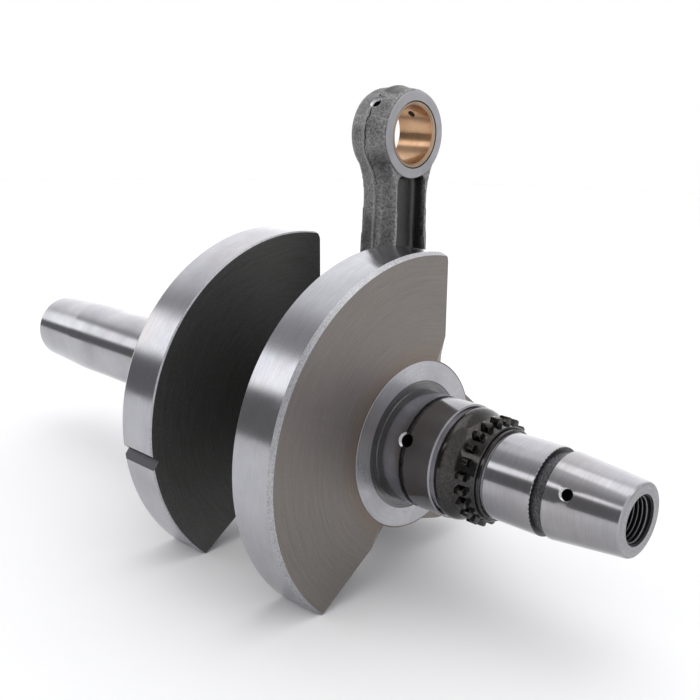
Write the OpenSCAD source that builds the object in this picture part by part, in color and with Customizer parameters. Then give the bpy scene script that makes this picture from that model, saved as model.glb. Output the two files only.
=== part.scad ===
// Built-up crankshaft of a single-cylinder four-stroke engine, with its
// connecting rod on a caged roller big end. Dimensions in mm.
// +X runs along the main bearing line towards the timing end, +Z is the way
// the connecting rod points, and the origin is the middle of the crank: on
// the main bearing line, level with the middle of the crank pin.

/* [Throw and webs] */
// Half the piston stroke, from the main bearing line to the crank pin's axis
crank_throw = 36.75; // [34:0.25:38]
// Angle of the crank pin round the main line, from +Y towards +Z
crank_deg = -26.5; // [-40:0.5:-10]
// Outer radius of the counterweights
web_r = 71.5; // [70:0.5:74]
// Distance from mid crank to the inner face of a counterweight
web_in = 23.3; // [21:0.1:24]
// Distance from mid crank to the outer face of a web
web_out = 43.3; // [42:0.1:44.5]
// Half the angle between the straight sides of a counterweight
fan_deg = 62; // [58:0.5:66]
// Distance of those straight sides from the main bearing line
fan_offset = 16; // [14:0.25:18]
// Radius of the web's neck round the main journal
neck_r = 33.2; // [33:0.1:34]
// Rounding from the straight side of the counterweight into the neck
neck_fillet_r = 17.5; // [15:0.5:20]
// Rounding of the counterweight's upper corner
corner_upper_r = 4; // [2:0.5:6]
// Rounding of the counterweight's lower corner
corner_lower_r = 1.6; // [1:0.1:4]
// Outer radius of the boss that holds the crank pin
pin_boss_r = 25.5; // [24.5:0.1:26]
// Distance from mid crank to the outer face of the pin boss
pin_boss_out = 33.3; // [32:0.1:35]
// Depth of the balancing notch in the drive side rim
notch_deep = 3; // [2:0.25:4]

/* [Journals and shafts] */
// Radius of both main journals
journal_r = 21; // [20.5:0.1:21.5]
// Outer radius of the ground thrust ring on each web
thrust_ring_r = 31.7; // [31:0.1:32]
// Distance from mid crank to the far end of the timing side main journal
journal_end = 67.4; // [66.5:0.1:68.5]
// Distance from mid crank to the oil groove round the timing side journal
oil_groove_at = 54.9; // [53:0.1:57]
// Radius of the parallel shaft beyond the timing sprocket
nose_r = 15.5; // [15.2:0.1:15.6]
// Distance from mid crank to the timing end of the shaft
nose_end = 135; // [132:0.5:138]
// Radius of the parallel shaft on the drive side
drive_r = 17.1; // [16.8:0.1:17.5]
// Distance from mid crank to the start of the drive side taper
drive_taper_at = 172; // [168:0.5:175]
// Distance from mid crank to the drive end of the shaft
drive_end = 204.5; // [202:0.5:207]

/* [Big end] */
// Radius of the crank pin
pin_r = 16; // [15.5:0.1:16.2]
// Radius of a big end roller
roller_r = 2.48; // [2.46:0.01:2.49]
// Number of rollers in the big end cage
rollers = 14; // [14:1:14]

/* [Connecting rod] */
// Distance between the centres of the rod's two eyes
rod_length = 126; // [122:0.5:130]
// Width of the small end along the piston pin
eye_wide = 18.4; // [17:0.1:20]
// Outer radius of the forged small end
eye_r = 17.9; // [17.5:0.1:18.2]
// Bore radius of the small end bush, for the piston pin
bush_bore_r = 11; // [10.5:0.1:11.3]
// Outside radius of the small end bush
bush_r = 12.5; // [12.3:0.1:12.7]

/* [Timing sprocket] */
// Teeth on the timing chain sprocket
sprocket_teeth = 22; // [18:1:26]
// Radius over the sprocket's teeth
sprocket_tip_r = 19.6; // [19.2:0.1:20]

/* [Hidden] */
$fn = 96;
steel = [0.62, 0.62, 0.63];
forged = [0.5, 0.49, 0.47];
dark_steel = [0.27, 0.27, 0.28];
bronze = [0.72, 0.5, 0.3];
pin_y = crank_throw * cos(crank_deg);
pin_z = crank_throw * sin(crank_deg);
pad_in = 13;
plate_in = 16.5;
inner_hub_r = 12;
ring_proud = 0.2;
rim_edge = 0.5;
rim_chamfer_deep = 1.9;
rim_chamfer_r = 1.1;
race_r = pin_r + 5;
roller_at_r = (pin_r + race_r) / 2;
roller_half = 7.5;
cage_half = 10.5;
cage_in_r = pin_r + 1.1;
cage_out_r = race_r - 0.4;
cage_slot = 5.1;
washer_in = 12.1;
washer_out = 12.9;
washer_bore_r = pin_r + 0.06;
washer_r = 24.5;
big_half = 12;
big_r = 28.5;
pin_half = 33;
pin_bore_r = 6;
plug_r = 7.5;
plug_thick = 3;
plug_seat = 4;
gallery_r = 2.2;
oil_hole_r = 2.4;
oil_groove_half = 1.1;
oil_groove_deep = 1;
shoulder_r = 19.4;
seat_at = 68.6;
seat_r = 15.6;
seat_end = 85.3;
nose_at = 86;
ring_groove_at = 104.4;
ring_groove_end = 108.5;
ring_groove_r = 13.9;
taper_r = 15.2;
nose_taper = 0.1;
drive_taper = 0.05;
nose_thread_r = 8;
nose_thread_deep = 32;
drive_thread_r = 6;
drive_thread_deep = 28;
dowel_hole_at = 116.2;
dowel_hole_r = 1.95;
dowel_hole_deep = 6;
tooth_at = 77.2;
tooth_end = 80.7;
tooth_root_r = 16.9;
tooth_phase = 155.3;
eye_body_half = 8.4;
eye_ring_r = 16.5;
eye_shoulder = 0.6;
flash_proud = 0.45;
flash_half = 0.9;
beam_flange = 3.4;
beam_web_half = 2.9;
bush_half = 9.1;
crown_holes = [43, 137];
crown_hole_r = 1.5;

// Half width of the rod's beam, listed by distance from the small end.
beam = [
  [8, 15.9], [11, 14], [14, 12.5], [17, 11.4], [20, 10.7], [24, 10.3],
  [29, 10.2], [36, 10.45], [44, 10.85], [56, 11.5], [70, 12.3], [82, 13.1],
  [90, 13.9], [95, 15.1], [99, 16.9], [102.5, 19.1], [106, 21.5]
];
// Half thickness of the beam across the webs, listed the same way.
beam_side = [
  [0, 8.2], [20, 8.5], [40, 8.9], [80, 9.8], [100, 10.2], [126, 10.4]
];

roller_names = [for (i = [1:rollers]) str("big_end_roller_", i < 10 ? "0" : "", i)];

// A flat shape in Y and Z, drawn out along X from x0 to x1.
module plate(x0, x1) {
  translate([x0, 0, 0])
    rotate([90, 0, 90])
      linear_extrude(height = x1 - x0)
        children();
}

// A shape turned about the X axis, from points given as [radius, x].
module turned(points) {
  rotate([90, 0, 90])
    rotate_extrude()
      polygon(points);
}

// A round bar or hole along X.
module bar(r, x0, x1) {
  translate([x0, 0, 0])
    rotate([0, 90, 0])
      cylinder(r = r, h = x1 - x0);
}

// A round hole from the main line outwards, at an angle round X.
module radial(r, x, a, from, to) {
  translate([x, 0, 0])
    rotate([a - 90, 0, 0])
      translate([0, 0, from])
        cylinder(r = r, h = to - from);
}

// The flared mouth of such a hole, opening at 45 degrees from radius r.
module radial_mouth(r, x, a, from, to) {
  translate([x, 0, 0])
    rotate([a - 90, 0, 0])
      translate([0, 0, from])
        cylinder(r1 = r, r2 = r + to - from, h = to - from);
}

module to_pin() {
  translate([0, pin_y, pin_z])
    children();
}

// Points along an arc, from angle a to angle b.
function arc(c, r, a, b, n) =
  [for (i = [0:n]) c + r * [cos(a + (b - a) * i / n), sin(a + (b - a) * i / n)]];

// The counterweight's straight side: its outward normal, then its direction.
side_n = [sin(fan_deg), cos(fan_deg)];
side_d = [-cos(fan_deg), sin(fan_deg)];
apex_u = fan_offset / sin(fan_deg);
fan_reach = 140;

// Cuts the sharp corner between straight side and rim to radius r.
module corner_cut(r) {
  out = sqrt(pow(web_r - r, 2) - pow(fan_offset - r, 2));
  c = side_n * (fan_offset - r) + side_d * out;
  a_side = atan2(side_n[1], side_n[0]);
  a_rim = atan2(c[1], c[0]);
  polygon(concat(arc(c, r, a_side, a_rim, 6), [c + (side_n + side_d) * 2.6 * r]));
}

// The hollow rounding between straight side and neck.
module neck_fillet() {
  reach = neck_fillet_r + fan_offset;
  up = sqrt(pow(neck_r + neck_fillet_r, 2) - pow(reach, 2));
  c = side_n * reach + side_d * up;
  a_side = atan2(-side_n[1], -side_n[0]) + 360;
  a_neck = atan2(-c[1], -c[0]) + 360;
  polygon(concat(arc(c, neck_fillet_r, a_side, a_neck, 9), [side_n * 6 + side_d * 4]));
}

// The counterweight and neck, with the crank pin along +X.
module fan_shape() {
  difference() {
    intersection() {
      circle(r = web_r);
      polygon([
        [apex_u, 0], [apex_u, 0] + side_d * fan_reach, [-fan_reach, fan_reach],
        [-fan_reach, -fan_reach], [apex_u + side_d[0] * fan_reach, -side_d[1] * fan_reach]
      ]);
    }
    corner_cut(corner_upper_r);
    mirror([0, 1])
      corner_cut(corner_lower_r);
  }
  circle(r = neck_r);
  neck_fillet();
  mirror([0, 1])
    neck_fillet();
}

// The plate that carries the crank pin, round the pin and the main journal.
module pin_side_shape(hub) {
  lean = acos((hub - pin_boss_r) / crank_throw);
  circle(r = hub);
  translate([crank_throw, 0])
    circle(r = pin_boss_r);
  polygon([
    hub * [cos(lean), sin(lean)],
    [crank_throw, 0] + pin_boss_r * [cos(lean), sin(lean)],
    [crank_throw, 0] + pin_boss_r * [cos(lean), -sin(lean)],
    hub * [cos(lean), -sin(lean)]
  ]);
}

// Space beyond the outer face on the crank pin's side, clear of the hub.
module outer_relief() {
  difference() {
    rotate([crank_deg, 0, 0])
      translate([0, 0, -80])
        linear_extrude(height = 160)
          polygon([
            [web_out + 1, -5.82], [42.2, -2], [40.4, 1], [38.2, 5], [36.1, 10],
            [34.5, 15.5], [33.6, 20], [pin_boss_out, 25], [pin_boss_out, 90],
            [web_out + 1, 90]
          ]);
    turned([
      [0, 30], [35.4, 30], [34.4, pin_boss_out + 0.6], [33.2, pin_boss_out + 2],
      [32.6, pin_boss_out + 4], [32.1, web_out + 1.5], [0, web_out + 1.5]
    ]);
  }
}

// One web without its shaft, as it is on the timing side.
module web() {
  difference() {
    union() {
      intersection() {
        plate(web_in, web_out)
          rotate(crank_deg)
            fan_shape();
        turned([
          [0, web_in - 1], [web_r - rim_edge - 1, web_in - 1], [web_r - rim_edge, web_in],
          [web_r, web_in + rim_edge], [web_r, web_out - rim_chamfer_deep],
          [web_r - rim_chamfer_r, web_out], [web_r - rim_chamfer_r - 0.6, web_out + 1],
          [0, web_out + 1]
        ]);
      }
      plate(plate_in, web_in + 6)
        rotate(crank_deg)
          pin_side_shape(inner_hub_r);
      plate(web_in, web_out - 0.5)
        rotate(crank_deg)
          pin_side_shape(neck_r - 0.4);
      to_pin()
        turned([
          [0, pad_in], [washer_r - 0.4, pad_in], [washer_r, pad_in + 0.4],
          [washer_r, web_in], [0, web_in]
        ]);
    }
    outer_relief();
    to_pin()
      bar(pin_r, pad_in - 1, web_out + 1);
  }
}

// The drilled way for oil, from the timing journal into the crank pin.
module oil_gallery() {
  run = oil_groove_at - 14;
  fall = crank_throw - 5;
  rotate([crank_deg, 0, 0])
    translate([oil_groove_at, 0, 0])
      rotate([0, 0, atan(run / fall)])
        rotate([-90, 0, 0])
          cylinder(r = gallery_r, h = sqrt(run * run + fall * fall));
}

// Thread stands in as a plain hole of the thread's outside radius.
module end_thread(r, mouth_r, deep, face) {
  turned([
    [0, face + 1], [mouth_r + 1, face + 1], [mouth_r, face], [r, face - (mouth_r - r)],
    [r, face - deep], [0, face - deep - 0.6 * r]
  ]);
}

module timing_side_crank_half() {
  end_r = taper_r - nose_taper * (nose_end - 0.8 - ring_groove_end);
  color(steel)
    difference() {
      union() {
        web();
        turned([
          [0, web_out - 8], [thrust_ring_r, web_out - 8],
          [thrust_ring_r, web_out + ring_proud - 0.1],
          [thrust_ring_r - 0.1, web_out + ring_proud], [24.5, web_out + ring_proud],
          [24.1, web_out - 1.2], [22.4, web_out - 1.5], [21.5, web_out - 0.9],
          [journal_r, web_out + 0.4],
          [journal_r, oil_groove_at - oil_groove_half],
          [journal_r - oil_groove_deep, oil_groove_at - oil_groove_half + 0.15],
          [journal_r - oil_groove_deep, oil_groove_at + oil_groove_half - 0.15],
          [journal_r, oil_groove_at + oil_groove_half],
          [journal_r, journal_end - 0.5], [journal_r - 0.5, journal_end],
          [shoulder_r, journal_end], [shoulder_r, seat_at], [seat_r, seat_at],
          [seat_r, seat_end], [15, seat_end], [15, nose_at], [nose_r - 0.2, nose_at],
          [nose_r, nose_at + 0.2], [nose_r, ring_groove_at - 0.2],
          [nose_r - 0.3, ring_groove_at], [ring_groove_r, ring_groove_at],
          [ring_groove_r, ring_groove_end], [taper_r - 0.2, ring_groove_end],
          [taper_r - 0.05, ring_groove_end + 0.3],
          [end_r, nose_end - 0.8], [end_r - 0.3, nose_end - 0.2],
          [end_r - 0.9, nose_end], [0, nose_end]
        ]);
      }
      end_thread(nose_thread_r, 8.6, nose_thread_deep, nose_end);
      radial(oil_hole_r, oil_groove_at, crank_deg + 180, 0, journal_r + 2);
      radial_mouth(
        oil_hole_r, oil_groove_at, crank_deg + 180,
        journal_r - 0.75, journal_r + 1.5
      );
      oil_gallery();
      radial(
        dowel_hole_r, dowel_hole_at, crank_deg + 180,
        taper_r - dowel_hole_deep, taper_r + 2
      );
      radial_mouth(
        dowel_hole_r, dowel_hole_at, crank_deg + 180, taper_r - 1.2, taper_r + 1
      );
    }
}

module drive_side_crank_half() {
  end_r = drive_r - drive_taper * (drive_end - 1 - drive_taper_at);
  color(steel)
    difference() {
      mirror([1, 0, 0])
        union() {
          web();
          turned([
            [0, web_out - 8], [thrust_ring_r, web_out - 8],
            [thrust_ring_r, web_out + ring_proud - 0.1],
            [thrust_ring_r - 0.1, web_out + ring_proud], [24.5, web_out + ring_proud],
            [24.1, web_out - 1.2], [22.4, web_out - 1.5], [21.5, web_out - 0.9],
            [journal_r, web_out + 0.4],
            [journal_r, journal_end + 4.1], [journal_r - 0.5, journal_end + 4.6],
            [drive_r + 0.6, journal_end + 4.6], [drive_r, journal_end + 5.4],
            [drive_r, drive_taper_at],
            [end_r, drive_end - 1], [end_r - 0.3, drive_end - 0.3],
            [end_r - 1, drive_end], [0, drive_end]
          ]);
        }
      plate(-web_out - 1, -web_in + 1)
        rotate(187)
          polygon([
            [web_r - notch_deep, 0], [web_r + 2, (notch_deep + 2) * 1.02],
            [web_r + 2, -(notch_deep + 2) * 1.02]
          ]);
      mirror([1, 0, 0])
        end_thread(drive_thread_r, 6.6, drive_thread_deep, drive_end);
    }
}

module crank_pin() {
  color(steel)
    to_pin()
      difference() {
        turned([
          [0, -pin_half], [pin_r - 0.5, -pin_half], [pin_r, -pin_half + 0.5],
          [pin_r, pin_half - 0.5], [pin_r - 0.5, pin_half], [0, pin_half]
        ]);
        bar(pin_bore_r, -pin_half - 1, pin_half + 1);
        bar(plug_r, -pin_half - 1, -pin_half + plug_seat);
        bar(plug_r, pin_half - plug_seat, pin_half + 1);
        radial(1.5, 0, crank_deg, 0, pin_r + 1);
        translate([0, -pin_y, -pin_z])
          oil_gallery();
      }
}

// A cupped plug, open side outwards, pressed into the end of the crank pin.
module pin_plug(side) {
  color(dark_steel)
    to_pin()
      mirror([side < 0 ? 1 : 0, 0, 0])
        turned([
          [0, pin_half - plug_seat], [plug_r, pin_half - plug_seat],
          [plug_r, pin_half - plug_seat + plug_thick],
          [plug_r - 1.2, pin_half - plug_seat + plug_thick],
          [plug_r - 1.5, pin_half - plug_seat + 1], [0, pin_half - plug_seat + 1]
        ]);
}

module pin_plug_timing_side() {
  pin_plug(1);
}

module pin_plug_drive_side() {
  pin_plug(-1);
}

// Pressed on to its seat, rounded collar towards the journal.
module timing_sprocket() {
  color(dark_steel)
    difference() {
      union() {
        turned([
          [10, seat_at], [19.3, seat_at], [19.9, seat_at + 0.25], [20.3, seat_at + 0.7],
          [20.5, seat_at + 1.3], [20.45, seat_at + 2], [20.2, seat_at + 2.8],
          [19.75, seat_at + 3.6], [19.15, seat_at + 4.4], [18.5, seat_at + 5.2],
          [17.9, seat_at + 6], [17.45, seat_at + 6.8], [17.25, tooth_at],
          [17.25, tooth_end], [17.1, tooth_end + 1], [17.1, seat_end - 1.9],
          [16.8, seat_end - 1.6], [16.3, seat_end - 1.6], [16.3, seat_end - 0.3],
          [16, seat_end], [10, seat_end]
        ]);
        plate(tooth_at, tooth_end) {
          circle(r = tooth_root_r + 0.6);
          for (i = [0:sprocket_teeth - 1])
            rotate(tooth_phase + i * 360 / sprocket_teeth)
              polygon([
                [tooth_root_r - 1, 1.75], [tooth_root_r + 0.5, 1.55],
                [sprocket_tip_r - 0.8, 1.2], [sprocket_tip_r - 0.15, 0.95],
                [sprocket_tip_r, 0.7], [sprocket_tip_r, -0.7],
                [sprocket_tip_r - 0.15, -0.95], [sprocket_tip_r - 0.8, -1.2],
                [tooth_root_r + 0.5, -1.55], [tooth_root_r - 1, -1.75]
              ]);
        }
      }
      bar(seat_r, seat_at - 1, seat_end + 1);
    }
}

module big_end_cage() {
  color(bronze)
    to_pin()
      difference() {
        turned([
          [cage_in_r, -cage_half], [cage_out_r - 0.4, -cage_half],
          [cage_out_r, -cage_half + 0.4], [cage_out_r, cage_half - 0.4],
          [cage_out_r - 0.4, cage_half], [cage_in_r, cage_half]
        ]);
        for (i = [0:rollers - 1])
          rotate([i * 360 / rollers, 0, 0])
            translate([-roller_half - 0.1, -cage_slot / 2, cage_in_r - 2])
              cube([2 * roller_half + 0.2, cage_slot, 8]);
      }
}

module big_end_roller(i) {
  color(steel)
    to_pin()
      rotate([i * 360 / rollers, 0, 0])
        translate([0, 0, roller_at_r])
          turned([
            [0, -roller_half], [roller_r - 0.3, -roller_half],
            [roller_r, -roller_half + 0.3], [roller_r, roller_half - 0.3],
            [roller_r - 0.3, roller_half], [0, roller_half]
          ]);
}

module thrust_washer(side) {
  color(bronze)
    to_pin()
      mirror([side < 0 ? 1 : 0, 0, 0])
        difference() {
          bar(washer_r, washer_in, washer_out);
          bar(washer_bore_r, washer_in - 1, washer_out + 1);
        }
}

module thrust_washer_timing_side() {
  thrust_washer(1);
}

module thrust_washer_drive_side() {
  thrust_washer(-1);
}

// The rod's outline looking along the crank, grown all round by g.
module rod_outline(g) {
  circle(r = big_r + g);
  translate([0, rod_length])
    circle(r = eye_r + g);
  polygon(concat(
    [for (b = beam) [b[1] + g, rod_length - b[0]]],
    [for (i = [len(beam) - 1:-1:0]) [-beam[i][1] - g, rod_length - beam[i][0]]]
  ));
}

// The hollow on each side of the beam, between its two flanges. Its upper
// end stops at a shoulder just outside the machined ring of the small end.
module beam_hollow() {
  top = rod_length - 18.6;
  low = rod_length - 92;
  w_top = 10.5 - beam_flange;
  w_mid = 12.3 - beam_flange;
  w_low = 14 - beam_flange;
  difference() {
    polygon(concat(
      arc([w_top - 2.5, top], 2.5, 0, 90, 5),
      arc([2.5 - w_top, top], 2.5, 90, 180, 5),
      [[-w_top - 0.1, rod_length - 36], [-w_mid, rod_length - 70]],
      arc([4 - w_low, low], 4, 180, 250, 4),
      arc([w_low - 4, low], 4, 290, 360, 4),
      [[w_mid, rod_length - 70], [w_top + 0.1, rod_length - 36]]
    ));
    translate([0, rod_length])
      circle(r = eye_ring_r + eye_shoulder);
  }
}

module connecting_rod() {
  color(forged)
    to_pin()
      difference() {
        union() {
          intersection() {
            plate(-big_half, big_half)
              rod_outline(0);
            union() {
              rotate([90, 0, 0])
                translate([0, 0, -40])
                  linear_extrude(height = 80)
                    polygon(concat(
                      [for (b = beam_side) [b[1], rod_length - b[0]]],
                      [for (i = [len(beam_side) - 1:-1:0])
                        [-beam_side[i][1], rod_length - beam_side[i][0]]]
                    ));
              translate([0, 0, rod_length])
                bar(eye_r + 2, -eye_body_half, eye_body_half);
              bar(big_r + 2, -big_half + 0.8, big_half - 0.8);
            }
          }
          plate(-flash_half, flash_half)
            rod_outline(flash_proud);
          translate([0, 0, rod_length])
            turned([
              [0, -eye_wide / 2], [eye_ring_r - 0.3, -eye_wide / 2],
              [eye_ring_r, -eye_wide / 2 + 0.3], [eye_ring_r, eye_wide / 2 - 0.3],
              [eye_ring_r - 0.3, eye_wide / 2], [0, eye_wide / 2]
            ]);
          turned([
            [0, -big_half], [big_r - 1.6, -big_half], [big_r - 1, -big_half + 0.6],
            [big_r - 1, big_half - 0.6], [big_r - 1.6, big_half], [0, big_half]
          ]);
        }
        plate(beam_web_half, big_half + 1)
          beam_hollow();
        plate(-big_half - 1, -beam_web_half)
          beam_hollow();
        bar(race_r, -big_half - 1, big_half + 1);
        translate([0, 0, rod_length]) {
          bar(bush_r, -eye_wide, eye_wide);
          for (a = crown_holes)
            rotate([a - 90, 0, 0]) {
              cylinder(r = crown_hole_r, h = 30);
              translate([0, 0, eye_r - 1.4])
                cylinder(r1 = crown_hole_r, r2 = 4, h = 3);
            }
        }
      }
}

module small_end_bush() {
  color(bronze)
    to_pin()
      translate([0, 0, rod_length])
        difference() {
          turned([
            [bush_bore_r, -bush_half + 0.7], [bush_bore_r + 0.7, -bush_half],
            [bush_r - 0.2, -bush_half], [bush_r, -bush_half + 0.2],
            [bush_r, bush_half - 0.2], [bush_r - 0.2, bush_half],
            [bush_bore_r + 0.7, bush_half], [bush_bore_r, bush_half - 0.7]
          ]);
          for (a = crown_holes)
            rotate([a - 90, 0, 0])
              cylinder(r = crown_hole_r, h = 30);
        }
}

timing_side_crank_half();
drive_side_crank_half();
crank_pin();
pin_plug_timing_side();
pin_plug_drive_side();
timing_sprocket();
big_end_cage();
thrust_washer_timing_side();
thrust_washer_drive_side();
connecting_rod();
small_end_bush();
for (i = [0:rollers - 1])
  big_end_roller(i);
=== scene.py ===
# %% [markdown]
# # A built-up crankshaft, dressed for the studio
#
# The object is the crankshaft of a single-cylinder engine: two steel halves
# pressed on to a crank pin, with a forged connecting rod that swings on caged
# rollers. Its shapes come from a CAD model, which this script only loads.
# What is left for Blender is the surface: ground steel, turned steel, the skin
# of a forging, bronze, and the small rounded details that a CAD solid leaves
# sharp. Lengths are in metres throughout, and names ending in `_mm` say when
# a table is in millimetres.

import math

import bmesh
import bpy
from mathutils import Matrix, Vector


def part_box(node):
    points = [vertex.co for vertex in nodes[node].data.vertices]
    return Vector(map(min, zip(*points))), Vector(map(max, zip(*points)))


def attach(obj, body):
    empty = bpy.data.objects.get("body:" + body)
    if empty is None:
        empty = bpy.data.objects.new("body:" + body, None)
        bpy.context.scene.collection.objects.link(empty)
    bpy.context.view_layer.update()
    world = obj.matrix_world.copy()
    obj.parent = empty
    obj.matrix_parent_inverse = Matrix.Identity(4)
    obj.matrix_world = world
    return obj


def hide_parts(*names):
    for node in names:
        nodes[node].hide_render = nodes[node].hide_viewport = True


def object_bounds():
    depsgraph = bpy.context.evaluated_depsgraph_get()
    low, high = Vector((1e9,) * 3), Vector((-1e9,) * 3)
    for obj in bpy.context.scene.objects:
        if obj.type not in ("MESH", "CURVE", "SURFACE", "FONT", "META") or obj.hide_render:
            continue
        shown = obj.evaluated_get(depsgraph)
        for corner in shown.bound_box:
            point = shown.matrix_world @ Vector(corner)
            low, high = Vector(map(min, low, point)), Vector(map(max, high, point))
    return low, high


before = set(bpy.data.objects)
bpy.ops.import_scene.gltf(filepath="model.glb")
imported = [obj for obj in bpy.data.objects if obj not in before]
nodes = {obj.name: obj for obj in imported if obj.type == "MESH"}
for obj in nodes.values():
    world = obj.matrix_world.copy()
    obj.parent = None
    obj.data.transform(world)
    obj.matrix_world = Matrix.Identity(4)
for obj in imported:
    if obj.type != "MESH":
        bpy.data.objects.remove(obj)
bpy.context.view_layer.update()
cad_low, cad_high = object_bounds()
print("CAD box", [round(v, 4) for v in (*cad_low, *cad_high)])

# %% [markdown]
# ## Camera
#
# The view is three-quarter, from in front of the timing end and a little
# above it, so that one rim, one outer face and the whole shaft show. A lens
# of about 52 mm on a full-frame sensor sees the part as the eye does from an
# arm's length, without the stretched ends of a wide lens. The small shift
# places the part in the frame without turning the camera.

# %% Camera
camera_data = bpy.data.cameras.new("camera")
camera_data.lens = 51.5
camera_data.sensor_width = 36
camera_data.shift_x = 0.0337
camera_data.shift_y = 0.0474
camera = bpy.data.objects.new("camera", camera_data)
camera.location = (0.26829, -0.27075, 0.12822)
camera.rotation_euler = [math.radians(a) for a in (73.306, -0.994, 45.442)]
bpy.context.scene.collection.objects.link(camera)
bpy.context.scene.camera = camera
print("camera", round((camera.location - (cad_low + cad_high) / 2).length, 3), "m away")

# %% [markdown]
# ## Sizes
#
# Every zone and every added piece is placed by the sizes of the CAD model.
# The main shaft lies on the X axis, so a distance from that axis is a radius,
# and the crank pin's axis is parallel to it, read from the pin's own box.

# %% Sizes
MM = 0.001
pin_low, pin_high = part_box("crank_pin")
pin_y = (pin_low.y + pin_high.y) / 2
pin_z = (pin_low.z + pin_high.z) / 2
bush_low, bush_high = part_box("small_end_bush")
eye_z = (bush_low.z + bush_high.z) / 2
nose_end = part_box("timing_side_crank_half")[1].x
drive_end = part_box("drive_side_crank_half")[0].x
print("crank pin axis at", round(pin_y / MM, 2), round(pin_z / MM, 2), "mm")
print("small end axis at z", round(eye_z / MM, 2), "mm")


# %% [markdown]
# ## Two small helpers
#
# `linear` turns the hex value of a colour, as a paint program shows it, into
# the linear light that shaders count in. `put` adds one node to any tree: its
# own settings, and its inputs, by name or in their order. Each input is a
# value, a colour in hex, or a socket to link.


# %% Helpers for colours and nodes
def linear(code):
    shares = [int(code[i : i + 2], 16) / 255 for i in (1, 3, 5)]
    return tuple(
        s / 12.92 if s <= 0.04045 else ((s + 0.055) / 1.055) ** 2.4 for s in shares
    ) + (1.0,)


def put(tree, kind, inputs=(), **settings):
    made = tree.nodes.new(kind)
    for name, value in settings.items():
        setattr(made, name, value)
    pairs = inputs.items() if isinstance(inputs, dict) else enumerate(inputs)
    for key, value in pairs:
        if isinstance(value, bpy.types.NodeSocket):
            tree.links.new(value, made.inputs[key])
        elif isinstance(value, str):
            made.inputs[key].default_value = linear(value)
        else:
            made.inputs[key].default_value = value
    return made


def new_material(name):
    made = bpy.data.materials.new(name)
    made.use_nodes = True
    made.node_tree.nodes.clear()
    return made, made.node_tree


def close_material(tree, shader):
    out = put(tree, "ShaderNodeOutputMaterial")
    tree.links.new(shader.outputs["BSDF"], out.inputs["Surface"])


print("mid grey #808080 in linear light:", round(linear("#808080")[0], 3))


# %% [markdown]
# ## Coordinates for work from a lathe or a grinder
#
# A turned or ground surface carries fine lines that run round its axis. They
# change fast across the lines and slowly along them. One set of coordinates
# serves cylinders, tapers and flat faces alike: the distance along the axis
# plus the distance from it counts across the lines, and the place itself,
# scaled down, counts along them. The same place gives the direction in which
# such lines spread a highlight, which is across them, for the shader's
# tangent.


# %% Lathe coordinates
def lathe(tree, across, along, centre=(0.0, 0.0)):
    """Sockets for a finish turned about an axis along X: pattern, tangent, radius, place."""
    place = put(tree, "ShaderNodeTexCoord").outputs["Object"]
    off = {"Vector": place, "Location": (0.0, -centre[0], -centre[1])}
    centred = put(tree, "ShaderNodeMapping", off).outputs["Vector"]
    split = put(tree, "ShaderNodeSeparateXYZ", [centred]).outputs
    flat = put(tree, "ShaderNodeCombineXYZ", {1: split["Y"], 2: split["Z"]}).outputs[0]
    radius = put(tree, "ShaderNodeVectorMath", [flat], operation="LENGTH").outputs["Value"]
    across_it = put(tree, "ShaderNodeMath", (split["X"], radius), operation="ADD").outputs[0]
    counts = [
        put(tree, "ShaderNodeMath", (s, 1 / size), operation="MULTIPLY").outputs[0]
        for s, size in ((across_it, across), (split["Y"], along), (split["Z"], along))
    ]
    pattern = put(tree, "ShaderNodeCombineXYZ", counts).outputs[0]
    cross = {"operation": "CROSS_PRODUCT"}
    round_it = put(tree, "ShaderNodeVectorMath", ((1.0, 0.0, 0.0), flat), **cross).outputs[0]
    normal = put(tree, "ShaderNodeNewGeometry").outputs["Normal"]
    tangent = put(tree, "ShaderNodeVectorMath", (normal, round_it), **cross).outputs[0]
    return pattern, tangent, radius, place


print("lathe coordinates ready")


# %% [markdown]
# ## Ground steel
#
# Shafts, journals and rims are hardened steel, finished on a cylindrical
# grinder. The wheel leaves scratches a few hundredths of a millimetre wide
# all the way round. They are drawn about 0.25 mm wide here, because finer
# ones vanish at this distance. The surface still mirrors the lamps, stretched
# a little along the shaft. Faint cloudy patches are the oil film and the
# handling of a part that has been wiped, not washed, and a faint warm tint
# is left by the heat of hardening.


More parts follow.
